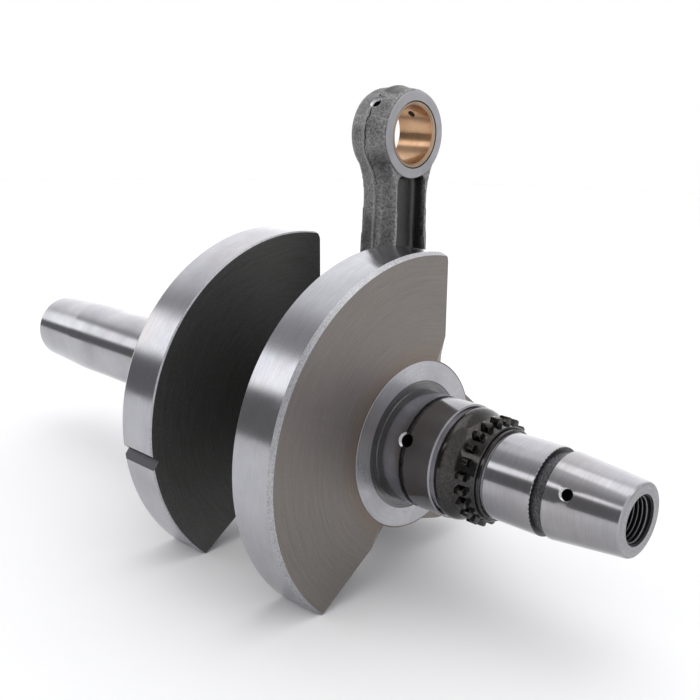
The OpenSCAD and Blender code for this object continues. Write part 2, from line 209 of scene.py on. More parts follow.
# %% Ground steel
def ground_metal(name, bright, dull, tint, tinted, rough, centre=(0.0, 0.0), stretch=0.45, mark=0.12):
    made, tree = new_material(name)
    pattern, tangent, _, place = lathe(tree, 0.25 * MM, 9 * MM, centre)
    fine = {"Vector": pattern, "Scale": 1.0, "Detail": 3.0, "Roughness": 0.6}
    scratches = put(tree, "ShaderNodeTexNoise", fine).outputs["Fac"]
    lined = put(tree, "ShaderNodeMapRange", (scratches, 0.3, 0.7, 0.9, 1.06)).outputs[0]
    patches = {"Vector": place, "Scale": 45.0, "Detail": 4.0, "Roughness": 0.6}
    film = put(tree, "ShaderNodeTexNoise", patches).outputs["Fac"]
    oiled = put(tree, "ShaderNodeMapRange", (film, 0.35, 0.68)).outputs[0]
    oiled = {"Factor": oiled, 6: bright, 7: dull}
    oiled = put(tree, "ShaderNodeMix", oiled, data_type="RGBA").outputs[2]
    wide = {"Vector": place, "Scale": 28.0, "Detail": 2.0, "Roughness": 0.6}
    heat = put(tree, "ShaderNodeTexNoise", wide).outputs["Fac"]
    heat = put(tree, "ShaderNodeMapRange", (heat, 0.5, 0.75, 0.0, tinted)).outputs[0]
    stained = {"Factor": heat, 6: oiled, 7: tint}
    stained = put(tree, "ShaderNodeMix", stained, data_type="RGBA").outputs[2]
    scratched = {0: stained, "Scale": lined}
    colour = put(tree, "ShaderNodeVectorMath", scratched, operation="SCALE").outputs["Vector"]
    film_rough = (film, 0.3, 0.7, rough * 0.8, rough * 1.35)
    relief = {"Height": scratches, "Strength": mark, "Distance": 0.02 * MM}
    finish = {
        "Base Color": colour,
        "Metallic": 1.0,
        "Roughness": put(tree, "ShaderNodeMapRange", film_rough).outputs[0],
        "Anisotropic": stretch,
        "Tangent": tangent,
        "Normal": put(tree, "ShaderNodeBump", relief).outputs[0],
    }
    close_material(tree, put(tree, "ShaderNodeBsdfPrincipled", finish))
    return made


rim_steel = ground_metal("ground_steel_rim", "#b2b2b7", "#a3a3a8", "#a39d96", 0.5, 0.18)
shaft_steel = ground_metal("ground_steel_shaft", "#acacb0", "#9b9b9f", "#948a84", 0.4, 0.17)
journal_steel = ground_metal("ground_steel_journal", "#9a9a9e", "#828286", "#77706b", 0.4, 0.17)
chamfer_steel = ground_metal("turned_steel_chamfer", "#c8c8cc", "#acacb0", "#a09a94", 0.3, 0.28)
print("ground steels ready")

# %% [markdown]
# ## The thrust ring
#
# Round each journal stands a ring, ground flat with a cup wheel, where the
# main bearing runs. Its scratches go round the shaft on a flat face, so its
# highlights open like a fan from the centre. A strong stretch across the
# scratches gives exactly that.

# %% Thrust ring
ring_steel = ground_metal(
    "ground_steel_thrust_ring", "#b2b2b6", "#a0a0a4", "#9c948c", 0.4, 0.27, stretch=0.85
)
print("thrust ring ready")


# %% [markdown]
# ## Turned and blasted steel
#
# The flat outer faces of the webs are turned, then lightly blasted, and the
# hardening furnace leaves them a warm matte grey, browner near the shaft.
# Grains are about 0.4 mm. Between the webs the same steel is painted darker,
# as painted shade for the narrow gap between them. Deep grooves, drilled
# holes and end faces are rougher still: they get the same recipe with other
# grains and greys, and the grooves and holes are painted dark, as painted
# shade in the recesses.


# %% Matte steel with a grain
def grained_metal(name, light, dark, grain, rough, relief, cloud, warm=None, lines=0.35):
    made, tree = new_material(name)
    pattern, tangent, radius, place = lathe(tree, 0.5 * MM, 14 * MM)
    small = {"Vector": place, "Scale": 1 / grain, "Detail": 4.0, "Roughness": 0.6}
    grains = put(tree, "ShaderNodeTexNoise", small).outputs["Fac"]
    grain_rough = (grains, 0.3, 0.7, rough * 0.85, rough * 1.15)
    grain_rough = put(tree, "ShaderNodeMapRange", grain_rough).outputs[0]
    fine = {"Vector": pattern, "Scale": 1.0, "Detail": 2.0, "Roughness": 0.6}
    turning = put(tree, "ShaderNodeTexNoise", fine).outputs["Fac"]
    both = {"Factor": lines, 2: grains, 3: turning}
    both = put(tree, "ShaderNodeMix", both, data_type="FLOAT").outputs[0]
    spread = put(tree, "ShaderNodeMapRange", (both, 0.35, 0.65)).outputs[0]
    grey = {"Factor": spread, 6: dark, 7: light}
    grey = put(tree, "ShaderNodeMix", grey, data_type="RGBA").outputs[2]
    wide = {"Vector": place, "Scale": 22.0, "Detail": 3.0, "Roughness": 0.6}
    clouds = put(tree, "ShaderNodeTexNoise", wide).outputs["Fac"]
    clouds = put(tree, "ShaderNodeMapRange", (clouds, 0.4, 0.75, 0.0, 0.4)).outputs[0]
    clouded = {"Factor": clouds, 6: grey, 7: cloud}
    colour = put(tree, "ShaderNodeMix", clouded, data_type="RGBA").outputs[2]
    if warm:
        tint, near, far, amount = warm
        close_in = (radius, near, far, amount, 0.0)
        close_in = put(tree, "ShaderNodeMapRange", close_in, interpolation_type="SMOOTHSTEP")
        browned = {"Factor": close_in.outputs[0], 6: colour, 7: tint}
        colour = put(tree, "ShaderNodeMix", browned, data_type="RGBA").outputs[2]
    bump = {"Height": both, "Strength": 0.35, "Distance": relief}
    finish = {
        "Base Color": colour,
        "Metallic": 1.0,
        "Roughness": grain_rough,
        "Anisotropic": 0.2,
        "Tangent": tangent,
        "Normal": put(tree, "ShaderNodeBump", bump).outputs[0],
    }
    close_material(tree, put(tree, "ShaderNodeBsdfPrincipled", finish))
    return made


near_shaft = ("#7a6655", 31 * MM, 41 * MM, 0.4)
web_face = grained_metal(
    "blasted_steel_web_face", "#8b8681", "#75706b", 0.45 * MM, 0.5, 0.07 * MM, "#7c7476", near_shaft
)
# Painted shade: the faces between the webs are painted darker for the shade in the gap between them.
shaded_web_inside = grained_metal(
    "painted_shade_steel_inside", "#6a6a69", "#535251", 0.8 * MM, 0.55, 0.05 * MM, "#5c5c58"
)
web_side = grained_metal(
    "milled_steel_web_side", "#575659", "#454447", 0.5 * MM, 0.42, 0.05 * MM, "#4b4b58"
)
# Painted shade: the turned grooves are painted dark for the shade inside them, besides their rough
# relief.
groove_shade_steel = grained_metal(
    "rough_turned_steel_painted_groove_shade", "#77777a", "#1f1f20", 0.45 * MM, 0.4, 0.3 * MM, "#3c3c3e", lines=0.1
)
undercut_steel = grained_metal(
    "turned_steel_undercut", "#7b7b7c", "#5b5b5c", 0.4 * MM, 0.3, 0.04 * MM, "#62605e", lines=0.7
)
end_face_steel = grained_metal(
    "faced_steel_end", "#b0b0b2", "#77777a", 0.4 * MM, 0.4, 0.14 * MM, "#8d8d8f", lines=0.25
)
# Painted shade: drilled holes, and on the rod the chamfer round the eye's bore, are painted near black
# for the shade inside them.
hole_shade_steel = grained_metal(
    "drilled_steel_painted_hole_shade", "#3a3a3a", "#232323", 0.4 * MM, 0.5, 0.05 * MM, "#2c2c2c"
)
rim_edge_steel = grained_metal(
    "worn_steel_rim_edge", "#bcbcbf", "#8e8e91", 0.6 * MM, 0.4, 0.16 * MM, "#a0a0a2", lines=0.1
)
oily_steel = grained_metal(
    "blackened_steel_oily", "#4e4d4c", "#333232", 0.9 * MM, 0.13, 0.01 * MM, "#3b3733", lines=0.3
)
print("matte steels ready")


# %% [markdown]
# ## Which finish goes where on the crank halves
#
# Each half is one solid, but the shop works each of its faces in its own
# way. The faces sort themselves by a few numbers: the distance x along the
# shaft, the distance r from it, how far f the face looks along it, and the
# distance d from the middle of the two small holes drilled into the timing
# shaft. The rules are tried in order and the first that holds gives the
# finish. Only the choice of material per face changes, never the mesh.

# %% Finishes of the crank halves
oil_hole_x, dowel_hole_x = 54.9, 116.2
hole_way = Vector((0, -pin_y, -pin_z)).normalized()


def hole_distance(c):
    """Distance in mm from the axis of the nearer small hole, or a large number."""
    if c.x < 0 or c.dot(hole_way) < 0:
        return 99.0
    nearer = oil_hole_x if c.x < 85 * MM else dowel_hole_x
    side = c - hole_way * c.dot(hole_way)
    return (side / MM - Vector((nearer, 0, 0))).length


def zones(node, rules):
    mesh = nodes[node].data
    mesh.materials.clear()
    for finish, _ in rules:
        mesh.materials.append(finish)
    counts = [0] * len(rules)
    for face in mesh.polygons:
        c = face.center
        x = abs(c.x) / MM
        r = math.hypot(c.y, c.z) / MM
        facing = face.normal.x * (1 if c.x > 0 else -1)
        d = hole_distance(c)
        for i, (_, test) in enumerate(rules):
            if test(x, r, facing, d):
                face.material_index = i
                counts[i] += 1
                break
    print(node, "faces per finish", counts)


# Holes, grooves and the faces between the webs carry painted shade: their finishes are painted dark for
# the shade that falls in them.
half_rules = [
    (hole_shade_steel, lambda x, r, f, d: (d < 2.45 and x < 60 or d < 1.97) and r < 20.6),
    (chamfer_steel, lambda x, r, f, d: (d < 3.1 and r > 20.2 and x < 60) or (d < 2.6 and r > 13.95)),
    (rim_edge_steel, lambda x, r, f, d: 23 < x < 43.4 and r > 69.8 and 0.2 < abs(f) < 0.95),
    (rim_steel, lambda x, r, f, d: 23 < x < 43.4 and r > 70.9 and abs(f) < 0.2),
    (ring_steel, lambda x, r, f, d: 43.3 < x < 43.6 and 24 < r < 31.75 and f > 0.5),
    (undercut_steel, lambda x, r, f, d: 41.5 < x < 43.75 and 20.8 < r < 24.6),
    (web_face, lambda x, r, f, d: 30 < x < 43.4 and r > 31.4 and f > 0.2),
    (shaded_web_inside, lambda x, r, f, d: x < 23.5 and abs(f) > 0.2),
    (web_side, lambda x, r, f, d: x < 43.4 and r > 24.6),
    (groove_shade_steel, lambda x, r, f, d: 53.7 < x < 56.1 and 19.9 < r < 20.98),
    (journal_steel, lambda x, r, f, d: x < 72.1 and r > 20.2),
    (groove_shade_steel, lambda x, r, f, d: 104.3 < x < 108.6 and 13.8 < r < 15.4),
    (end_face_steel, lambda x, r, f, d: 133.9 < x < 136 and f > 0.6 and r > 8.7),
    (end_face_steel, lambda x, r, f, d: x > 203.4 and f > 0.6 and r > 6.7),
    (hole_shade_steel, lambda x, r, f, d: r < 8.7 and x > 100),
    (shaft_steel, lambda x, r, f, d: x > 66),
    (hole_shade_steel, lambda x, r, f, d: True),
]
for half in ("timing_side_crank_half", "drive_side_crank_half"):
    zones(half, half_rules)


# %% [markdown]
# ## Turned pieces
#
# A piece from a lathe is its profile swept round an axis. The profile here
# is a closed loop of points, each a radius and a place along X, and the loop
# is copied round the axis in even steps. Every face is made straight from
# that grid, so the piece is closed by construction.


# %% Turned pieces
def turned(name, profile, centre=(0.0, 0.0), steps=144):
    """A closed ring from (radius, x) points in mm, about the axis through centre in metres."""
    n = len(profile)
    points, faces = [], []
    for s in range(steps):
        a = math.tau * s / steps
        for r, x in profile:
            y = centre[0] + r * MM * math.cos(a)
            z = centre[1] + r * MM * math.sin(a)
            points.append((x * MM, y, z))
    for s in range(steps):
        here, there = s * n, (s + 1) % steps * n
        for i in range(n):
            j = (i + 1) % n
            faces.append((here + i, here + j, there + j, there + i))
    mesh = bpy.data.meshes.new(name)
    mesh.from_pydata(points, [], faces)
    bm = bmesh.new()
    bm.from_mesh(mesh)
    bmesh.ops.recalc_face_normals(bm, faces=bm.faces)
    bm.to_mesh(mesh)
    bm.free()
    return add_piece(name, mesh)


def add_piece(name, mesh):
    piece = bpy.data.objects.new(name, mesh)
    bpy.context.scene.collection.objects.link(piece)
    return piece


def settle(piece, name):
    """The piece with all its modifiers worked in, as a plain mesh of its own."""
    bpy.context.view_layer.update()
    graph = bpy.context.evaluated_depsgraph_get()
    mesh = bpy.data.meshes.new_from_object(piece.evaluated_get(graph), depsgraph=graph)
    bpy.data.objects.remove(piece)
    mesh.name = name
    return add_piece(name, mesh)


def carve(piece, tool, operation):
    """Joins another closed piece on, or cuts it away, and throws the tool away."""
    step = piece.modifiers.new("carve", "BOOLEAN")
    step.object = tool
    step.operation = operation
    step.solver = "MANIFOLD"
    piece = settle(piece, piece.name)
    bpy.data.objects.remove(tool)
    return piece


print("turned pieces ready")

# %% [markdown]
# ## The connecting rod
#
# The rod is drop-forged between two dies, so nothing on it is sharp: every
# edge is rounded, the flanks lean in by a few degrees to let it leave the
# dies, and a low ridge marks where the dies met. Then the eyes are bored and
# their faces ground. The CAD solid has the right sizes but crisp edges. Here
# its skin is rebuilt from small even voxels and smoothed, which rounds the
# edges like a forging. Then each point leans in with its distance from the
# parting plane, and a band along that plane stands half a millimetre proud.
# Last come the machined rings, joined on crisp, because a smoothed edge would
# be wrong on a ground face.

# %% Forged skin of the rod
VOXEL = 0.62 * MM
DRAFT = math.tan(math.radians(5.5))
RIDGE = 0.5 * MM
EYE_HALF, BIG_HALF = 8.6 * MM, 11.5 * MM
eye = (pin_y, eye_z)
big = (pin_y, pin_z)


def share(value, whole):
    """How much of the whole the value is, between none and all of it."""
    return min(1.0, max(0.0, value / whole))


cad_rod = nodes["connecting_rod"].data.copy()
bm = bmesh.new()
bm.from_mesh(cad_rod)
bmesh.ops.remove_doubles(bm, verts=bm.verts, dist=0.0005 * MM)
bm.to_mesh(cad_rod)
bm.free()
rod = add_piece("forged_connecting_rod", cad_rod)
step = rod.modifiers.new("even_skin", "REMESH")
step.mode = "VOXEL"
step.voxel_size = VOXEL
step = rod.modifiers.new("rounded_edges", "SMOOTH")
step.factor = 0.5
step.iterations = 7
rod = settle(rod, "forged_connecting_rod")
print("rounded skin", len(rod.data.vertices), "points")

# %% Draft and parting ridge
skin = rod.data
outward = [v.normal.copy() for v in skin.vertices]
for v, n in zip(skin.vertices, outward):
    x, y, z = v.co
    to_eye = Vector((y - eye[0], z - eye[1]))
    to_big = Vector((y - big[0], z - big[1]))
    if to_eye.length < 14.4 * MM:
        # Inside the small end's ring: pulled back so that only the ring shows.
        to_eye *= 13.2 * MM / to_eye.length
        y, z = eye[0] + to_eye.x, eye[1] + to_eye.y
        x = max(-EYE_HALF, min(EYE_HALF, x))
    elif to_big.length < 24 * MM:
        # Inside the big end's ring: the same.
        to_big *= 22 * MM / to_big.length
        y, z = big[0] + to_big.x, big[1] + to_big.y
        x = max(-BIG_HALF, min(BIG_HALF, x))
    else:
        flat = math.hypot(n.y, n.z)
        lean = DRAFT * abs(x) * min(1.0, flat * 1.4)
        below_eye = share(eye[1] + 4 * MM - z, 12 * MM)
        above_big = share(to_big.length - 30 * MM, 8 * MM)
        off_ridge = share(abs(x) - 1.5 * MM, 0.9 * MM)
        lean -= RIDGE * below_eye * above_big * (1 - off_ridge)
        if flat > 0.05:
            y -= n.y / flat * lean
            z -= n.z / flat * lean
        if to_eye.length < 17 * MM:
            x = max(-EYE_HALF, min(EYE_HALF, x))
        if to_big.length < 28 * MM:
            x = max(-BIG_HALF, min(BIG_HALF, x))
    v.co = (x, y, z)
print("forged skin", len(skin.polygons), "faces")

# %% Machined rings and oil holes of the rod
eye_ring = turned(
    "eye_ring",
    [(12.5, -8.7), (12.8, -9.2), (16.2, -9.2), (16.5, -8.9)]
    + [(16.5, 8.9), (16.2, 9.2), (12.8, 9.2), (12.5, 8.7)],
    eye,
)
big_ring = turned(
    "big_ring",
    [(21, -12), (26.9, -12), (27.5, -11.4), (27.5, 11.4), (26.9, 12), (21, 12)],
    big,
)
rod = carve(rod, eye_ring, "UNION")
rod = carve(rod, big_ring, "UNION")
crown_ways = [Vector((0, math.cos(math.radians(a)), math.sin(math.radians(a)))) for a in (43, 137)]
for way in crown_ways:
    turn = way.to_track_quat("Z", "X").to_matrix().to_4x4()
    for low_r, high_r, start, end in ((1.5, 1.5, 8, 18), (1.5, 4.1, 16.9, 19.5)):
        bm = bmesh.new()
        cone = {"radius1": low_r * MM, "radius2": high_r * MM, "depth": (end - start) * MM}
        bmesh.ops.create_cone(bm, cap_ends=True, segments=40, **cone)
        middle = Vector((0, *eye)) + way * (start + end) / 2 * MM
        bm.transform(Matrix.Translation(middle) @ turn)
        drill_mesh = bpy.data.meshes.new("drill")
        bm.to_mesh(drill_mesh)
        bm.free()
        rod = carve(rod, add_piece("drill", drill_mesh), "DIFFERENCE")
print("rod", len(rod.data.polygons), "faces")


# %% [markdown]
# ## The skin of a forging
#
# Shot blasting leaves a forging a rough mid grey, with grains about a
# millimetre wide that catch the light one by one. Along the parting plane
# runs the trimmed seam of the dies: a thin dark crack that wanders by a
# millimetre or so, deepest on the crown and fading down the beam. It follows
# the plane x = 0, so the shader finds it from the place alone. The bottom of
# the two long pockets is painted a darker grey: this is painted shade, for the
# shade that falls into the recess. A pocket is also found from the place:
# close to the rod's middle, and sunk below its flanges. Nothing bounds it in
# height, so the same painted shade also falls on the crown and, as a dark
# rectangle, under the big end, where a real forging has none. A third range,
# over the height, would keep it to the beam.

# %% Forged steel
FORGED_GRAIN = 0.9 * MM
SEAM_WANDER = 4.5 * MM
forged_steel, tree = new_material("forged_steel_blasted")
place = put(tree, "ShaderNodeTexCoord").outputs["Object"]
split = put(tree, "ShaderNodeSeparateXYZ", [place]).outputs
small = {"Vector": place, "Scale": 1 / FORGED_GRAIN, "Detail": 5.0, "Roughness": 0.6}
grains = put(tree, "ShaderNodeTexNoise", small).outputs["Fac"]
metal = put(tree, "ShaderNodeMapRange", (grains, 0.36, 0.64)).outputs[0]
metal = {"Factor": metal, 6: "#5f5e5e", 7: "#a3a2a2"}
metal = put(tree, "ShaderNodeMix", metal, data_type="RGBA").outputs[2]
wide = {"Vector": place, "Scale": 95.0, "Detail": 3.0, "Roughness": 0.6}
patches = put(tree, "ShaderNodeTexNoise", wide).outputs["Fac"]
patches = put(tree, "ShaderNodeMapRange", (patches, 0.35, 0.7, 0.0, 0.6)).outputs[0]
metal = {"Factor": patches, 6: metal, 7: "#6c6a69"}
metal = put(tree, "ShaderNodeMix", metal, data_type="RGBA").outputs[2]
print("forged grain", round(FORGED_GRAIN / MM, 2), "mm")

# %% Seam of the dies
wander = {"Vector": place, "Scale": 130.0, "Detail": 3.0}
wander = put(tree, "ShaderNodeTexNoise", wander).outputs["Fac"]
shift = put(tree, "ShaderNodeMath", (wander, 0.5), operation="SUBTRACT").outputs[0]
shift = put(tree, "ShaderNodeMath", (shift, SEAM_WANDER), operation="MULTIPLY").outputs[0]
beside = put(tree, "ShaderNodeMath", (split["X"], shift), operation="SUBTRACT").outputs[0]
away = put(tree, "ShaderNodeMath", [beside], operation="ABSOLUTE").outputs[0]
seam = (away, 0.14 * MM, 0.34 * MM, 1.0, 0.0)
seam = put(tree, "ShaderNodeMapRange", seam, interpolation_type="SMOOTHSTEP").outputs[0]
fading = (split["Z"], eye_z - 24 * MM, eye_z - 6 * MM, 0.15, 1.0)
fading = put(tree, "ShaderNodeMapRange", fading, interpolation_type="SMOOTHSTEP").outputs[0]
seam = put(tree, "ShaderNodeMath", (seam, fading), operation="MULTIPLY").outputs[0]
print("seam wanders up to", round(SEAM_WANDER / 2 / MM, 2), "mm to each side")

# %% Painted shade in the pockets
from_middle = put(tree, "ShaderNodeMath", (split["Y"], pin_y), operation="SUBTRACT").outputs[0]
from_middle = put(tree, "ShaderNodeMath", [from_middle], operation="ABSOLUTE").outputs[0]
inward = (from_middle, 9.4 * MM, 8.0 * MM)
inward = put(tree, "ShaderNodeMapRange", inward, interpolation_type="SMOOTHSTEP").outputs[0]
from_plane = put(tree, "ShaderNodeMath", [split["X"]], operation="ABSOLUTE").outputs[0]
sunk = (from_plane, 7.8 * MM, 6.2 * MM, 0.0, 0.9)
sunk = put(tree, "ShaderNodeMapRange", sunk, interpolation_type="SMOOTHSTEP").outputs[0]
pocket_shade = put(tree, "ShaderNodeMath", (inward, sunk), operation="MULTIPLY").outputs[0]
# Painted shade: the bottoms of the pockets are darkened for the shade that falls into them.
metal = {"Factor": pocket_shade, 6: metal, 7: "#4d4c4c"}
metal = put(tree, "ShaderNodeMix", metal, data_type="RGBA").outputs[2]
metal = {"Factor": seam, 6: metal, 7: "#1d1c1c"}
metal = put(tree, "ShaderNodeMix", metal, data_type="RGBA").outputs[2]
height = put(tree, "ShaderNodeMath", (grains, seam), operation="SUBTRACT").outputs[0]
bump = {"Height": height, "Strength": 0.55, "Distance": 0.3 * MM}
finish = {
    "Base Color": metal,
    "Metallic": 1.0,
    "Roughness": put(tree, "ShaderNodeMapRange", (grains, 0.0, 1.0, 0.3, 0.6)).outputs[0],
    "Normal": put(tree, "ShaderNodeBump", bump).outputs[0],
}
close_material(tree, put(tree, "ShaderNodeBsdfPrincipled", finish))
eye_face_steel = ground_metal(
    "ground_steel_rod_eye", "#a6a6a9", "#949497", "#8f8b88", 0.3, 0.42, eye, 0.3
)
race_steel = ground_metal("ground_steel_rod_race", "#b4b4b8", "#a4a4a8", "#98928c", 0.3, 0.2, big)

# %% Finishes of the rod
rod.data.materials.clear()
for finish in (forged_steel, eye_face_steel, race_steel, hole_shade_steel, chamfer_steel):
    rod.data.materials.append(finish)
for face in rod.data.polygons:
    c = face.center / MM
    from_eye = math.hypot(c.y - eye[0] / MM, c.z - eye[1] / MM)
    from_big = math.hypot(c.y - big[0] / MM, c.z - big[1] / MM)
    # Painted shade: the chamfer round the eye's bore and the oil holes take the near-black hole steel.
    if from_eye < 12.8 and abs(c.x) > 8.69:
        face.material_index = 3
    elif from_eye < 16.55 and (abs(c.x) > 8.85 or from_eye < 12.6):
        face.material_index = 1
    elif from_big < 27.6 and (abs(c.x) > 11.35 or from_big < 21.1):
        face.material_index = 2
    for way in crown_ways:
        from_centre = c - Vector((0, *eye)) / MM
        up_the_hole = from_centre.dot(way)
        beside_hole = (from_centre - way * up_the_hole).length
        if up_the_hole > 12 and beside_hole < 1.55:
            face.material_index = 3
        elif up_the_hole > 16 and beside_hole < 2.5:
            face.material_index = 4
    face.use_smooth = True
rod.data.set_sharp_from_angle(angle=math.radians(38))
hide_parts("connecting_rod")
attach(rod, "rod")
print("rod finished")

# %% [markdown]
# ## Teeth of the timing sprocket
#
# The sprocket carries 22 equal teeth. One tooth is modelled, with its edges
# bevelled as a hob and a tumbling barrel leave them. Geometry Nodes then copy
# it round the shaft: a cloud of points that all lie on the axis, one tooth
# for each, and each turned one step further than the last. Moving the copies
# by turning alone keeps their distance from the axis exact.

# %% One tooth
SPROCKET_TEETH = 22
TOOTH_PHASE = math.radians(155.3)
tooth_x = (77.2, 80.7)
tooth_side = [(15.9, 1.75), (17.4, 1.55), (18.8, 1.2), (19.45, 0.95), (19.6, 0.7)]
bm = bmesh.new()
outline = tooth_side + [(r, -w) for r, w in reversed(tooth_side)]
ends = [[bm.verts.new((x * MM, r * MM, w * MM)) for r, w in outline] for x in tooth_x]
bm.faces.new(ends[0])
bm.faces.new(list(reversed(ends[1])))
for i in range(len(outline)):
    j = (i + 1) % len(outline)
    bm.faces.new((ends[0][j], ends[0][i], ends[1][i], ends[1][j]))
bmesh.ops.recalc_face_normals(bm, faces=bm.faces)
tooth_mesh = bpy.data.meshes.new("sprocket_tooth")
bm.to_mesh(tooth_mesh)
bm.free()
teeth = add_piece("sprocket_teeth", tooth_mesh)
step = teeth.modifiers.new("tumbled_edges", "BEVEL")
step.width = 0.4 * MM
step.segments = 3
step.limit_method = "ANGLE"
step.angle_limit = math.radians(28)


# %% Copies round an axis
def new_tree(name, sizes):
    """A Geometry Nodes tree with named sizes, and its input and output nodes."""
    tree = bpy.data.node_groups.new(name, "GeometryNodeTree")
    tree.interface.new_socket("Geometry", in_out="INPUT", socket_type="NodeSocketGeometry")
    tree.interface.new_socket("Geometry", in_out="OUTPUT", socket_type="NodeSocketGeometry")
    for size, kind in sizes.items():
        tree.interface.new_socket(size, in_out="INPUT", socket_type="NodeSocket" + kind)
    return tree, put(tree, "NodeGroupInput").outputs, put(tree, "NodeGroupOutput")


def grow(piece, tree, sizes):
    """Puts the tree on the piece with these sizes and works it in."""
    step = piece.modifiers.new(tree.name, "NODES")
    step.node_group = tree
    for socket in tree.interface.items_tree:
        if socket.in_out == "INPUT" and socket.name in sizes:
            step[socket.identifier] = sizes[socket.name]
    return settle(piece, piece.name)


ring_tree, given, out = new_tree(
    "copies_round_the_shaft", {"Count": "Int", "First Angle": "Float", "Finish": "Material"}
)
spots = put(ring_tree, "GeometryNodePoints", {"Count": given["Count"]}).outputs[0]
number = put(ring_tree, "GeometryNodeInputIndex").outputs[0]
each = (math.tau, given["Count"])
each = put(ring_tree, "ShaderNodeMath", each, operation="DIVIDE").outputs[0]
angle = (number, each, given["First Angle"])
angle = put(ring_tree, "ShaderNodeMath", angle, operation="MULTIPLY_ADD").outputs[0]
euler = put(ring_tree, "ShaderNodeCombineXYZ", {"X": angle}).outputs[0]
turn = put(ring_tree, "FunctionNodeEulerToRotation", [euler]).outputs[0]
copies = {"Points": spots, "Instance": given["Geometry"], "Rotation": turn}
copies = put(ring_tree, "GeometryNodeInstanceOnPoints", copies).outputs[0]
real = put(ring_tree, "GeometryNodeRealizeInstances", [copies]).outputs[0]
dressed = {"Geometry": real, "Material": given["Finish"]}
dressed = put(ring_tree, "GeometryNodeSetMaterial", dressed).outputs[0]
ring_tree.links.new(dressed, out.inputs[0])
teeth = grow(
    teeth, ring_tree, {"Count": SPROCKET_TEETH, "First Angle": TOOTH_PHASE, "Finish": oily_steel}
)
print("teeth", len(teeth.data.polygons), "faces")

# %% [markdown]
# ## The sprocket's body
#
# Its body is one turned ring: a full round collar beside the journal, a neck
# that carries the teeth, and two small steps where it meets the shaft. The
# teeth are joined to it, so that the sprocket is one closed piece.

# %% Sprocket body
seat_at = 68.6
collar = [(15.6, 0), (19.2, 0), (19.85, 0.2), (20.25, 0.6), (20.45, 1.2), (20.45, 1.9)]
collar += [(20.2, 2.8), (19.75, 3.6), (19.15, 4.4), (18.5, 5.2), (17.9, 6), (17.45, 6.8)]
collar += [(17.25, 8.6), (17.25, 12.1), (17.1, 13.1), (17.1, 14.8), (16.8, 15.1), (16.3, 15.1)]
collar += [(16.3, 16.4), (16, 16.7), (15.6, 16.7)]
sprocket = turned("timing_sprocket_body", [(r, x + seat_at) for r, x in collar])
sprocket.data.materials.append(oily_steel)
sprocket = carve(sprocket, teeth, "UNION")
for face in sprocket.data.polygons:
    face.use_smooth = True
sprocket.data.set_sharp_from_angle(angle=math.radians(33))
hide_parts("timing_sprocket")
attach(sprocket, "crank")
print("sprocket", len(sprocket.data.polygons), "faces")

# %% [markdown]
# ## Threads in the shaft ends
#
# A screw thread is one groove that runs round the hole as a helix. In CAD
# each hole is plain, cut to the thread's outside radius. What is missing is
# the ridge between the turns of the groove, and that is a coil with a
# three-cornered section. Geometry Nodes draw the helix and sweep the section
# along it, with the curve's normals held square to the axis so that the
# ridge never twists.

# %% Thread ridges
thread_tree, given, out = new_tree(
    "thread_ridge",
    {
        "Turns": "Float",
        "Length": "Float",
        "Radius": "Float",
        "Section": "Float",
        "Start": "Float",
        "Finish": "Material",
    },
)
helix = {
    "Resolution": 48,
    "Rotations": given["Turns"],
    "Start Radius": given["Radius"],
    "End Radius": given["Radius"],
    "Height": given["Length"],
}
helix = put(thread_tree, "GeometryNodeCurveSpiral", helix).outputs[0]
square = put(thread_tree, "GeometryNodeSetCurveNormal", {"Curve": helix}, mode="Z_UP").outputs[0]
corner = {"Resolution": 3, "Radius": given["Section"]}
corner = put(thread_tree, "GeometryNodeCurvePrimitiveCircle", corner, mode="RADIUS").outputs[0]
RIDGE_WIDE = 1.37
wide = {"Geometry": corner, "Scale": (1.0, RIDGE_WIDE, 1.0)}
wide = put(thread_tree, "GeometryNodeTransform", wide).outputs[0]
ridge = {"Curve": square, "Profile Curve": wide, "Fill Caps": True}
ridge = put(thread_tree, "GeometryNodeCurveToMesh", ridge).outputs[0]
lay = put(thread_tree, "FunctionNodeEulerToRotation", [(0.0, math.pi / 2, 0.0)]).outputs[0]
start = put(thread_tree, "ShaderNodeCombineXYZ", {"X": given["Start"]}).outputs[0]
laid = {"Geometry": ridge, "Translation": start, "Rotation": lay}
laid = put(thread_tree, "GeometryNodeTransform", laid).outputs[0]
real = put(thread_tree, "GeometryNodeRealizeInstances", [laid]).outputs[0]
dressed = {"Geometry": real, "Material": given["Finish"]}
dressed = put(thread_tree, "GeometryNodeSetMaterial", dressed).outputs[0]
thread_tree.links.new(dressed, out.inputs[0])

thread_steel = grained_metal(
    "tapped_steel_thread", "#8a8a8c", "#5c5c5e", 0.4 * MM, 0.32, 0.04 * MM, "#6a6a6c", lines=0.6
)
for name, mouth, length, pitch, outer in (
    ("timing_end_thread", nose_end / MM - 28.6, 27.6, 1.5, 8.04),
    ("drive_end_thread", drive_end / MM + 0.9, 23.8, 1.25, 6.04),
):
    section = pitch * 0.378
    ridge = add_piece(name, bpy.data.meshes.new(name))
    sizes = {"Turns": length / pitch, "Length": length * MM, "Start": mouth * MM}
    sizes["Radius"] = (outer - section / 2) * MM
    sizes["Section"] = section * MM
    sizes["Finish"] = thread_steel
    ridge = grow(ridge, thread_tree, sizes)
    inner = min(math.hypot(v.co.y, v.co.z) for v in ridge.data.vertices) / MM
    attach(ridge, "crank")
    print(name, "inner radius", round(inner, 2), "mm,", len(ridge.data.polygons), "faces")
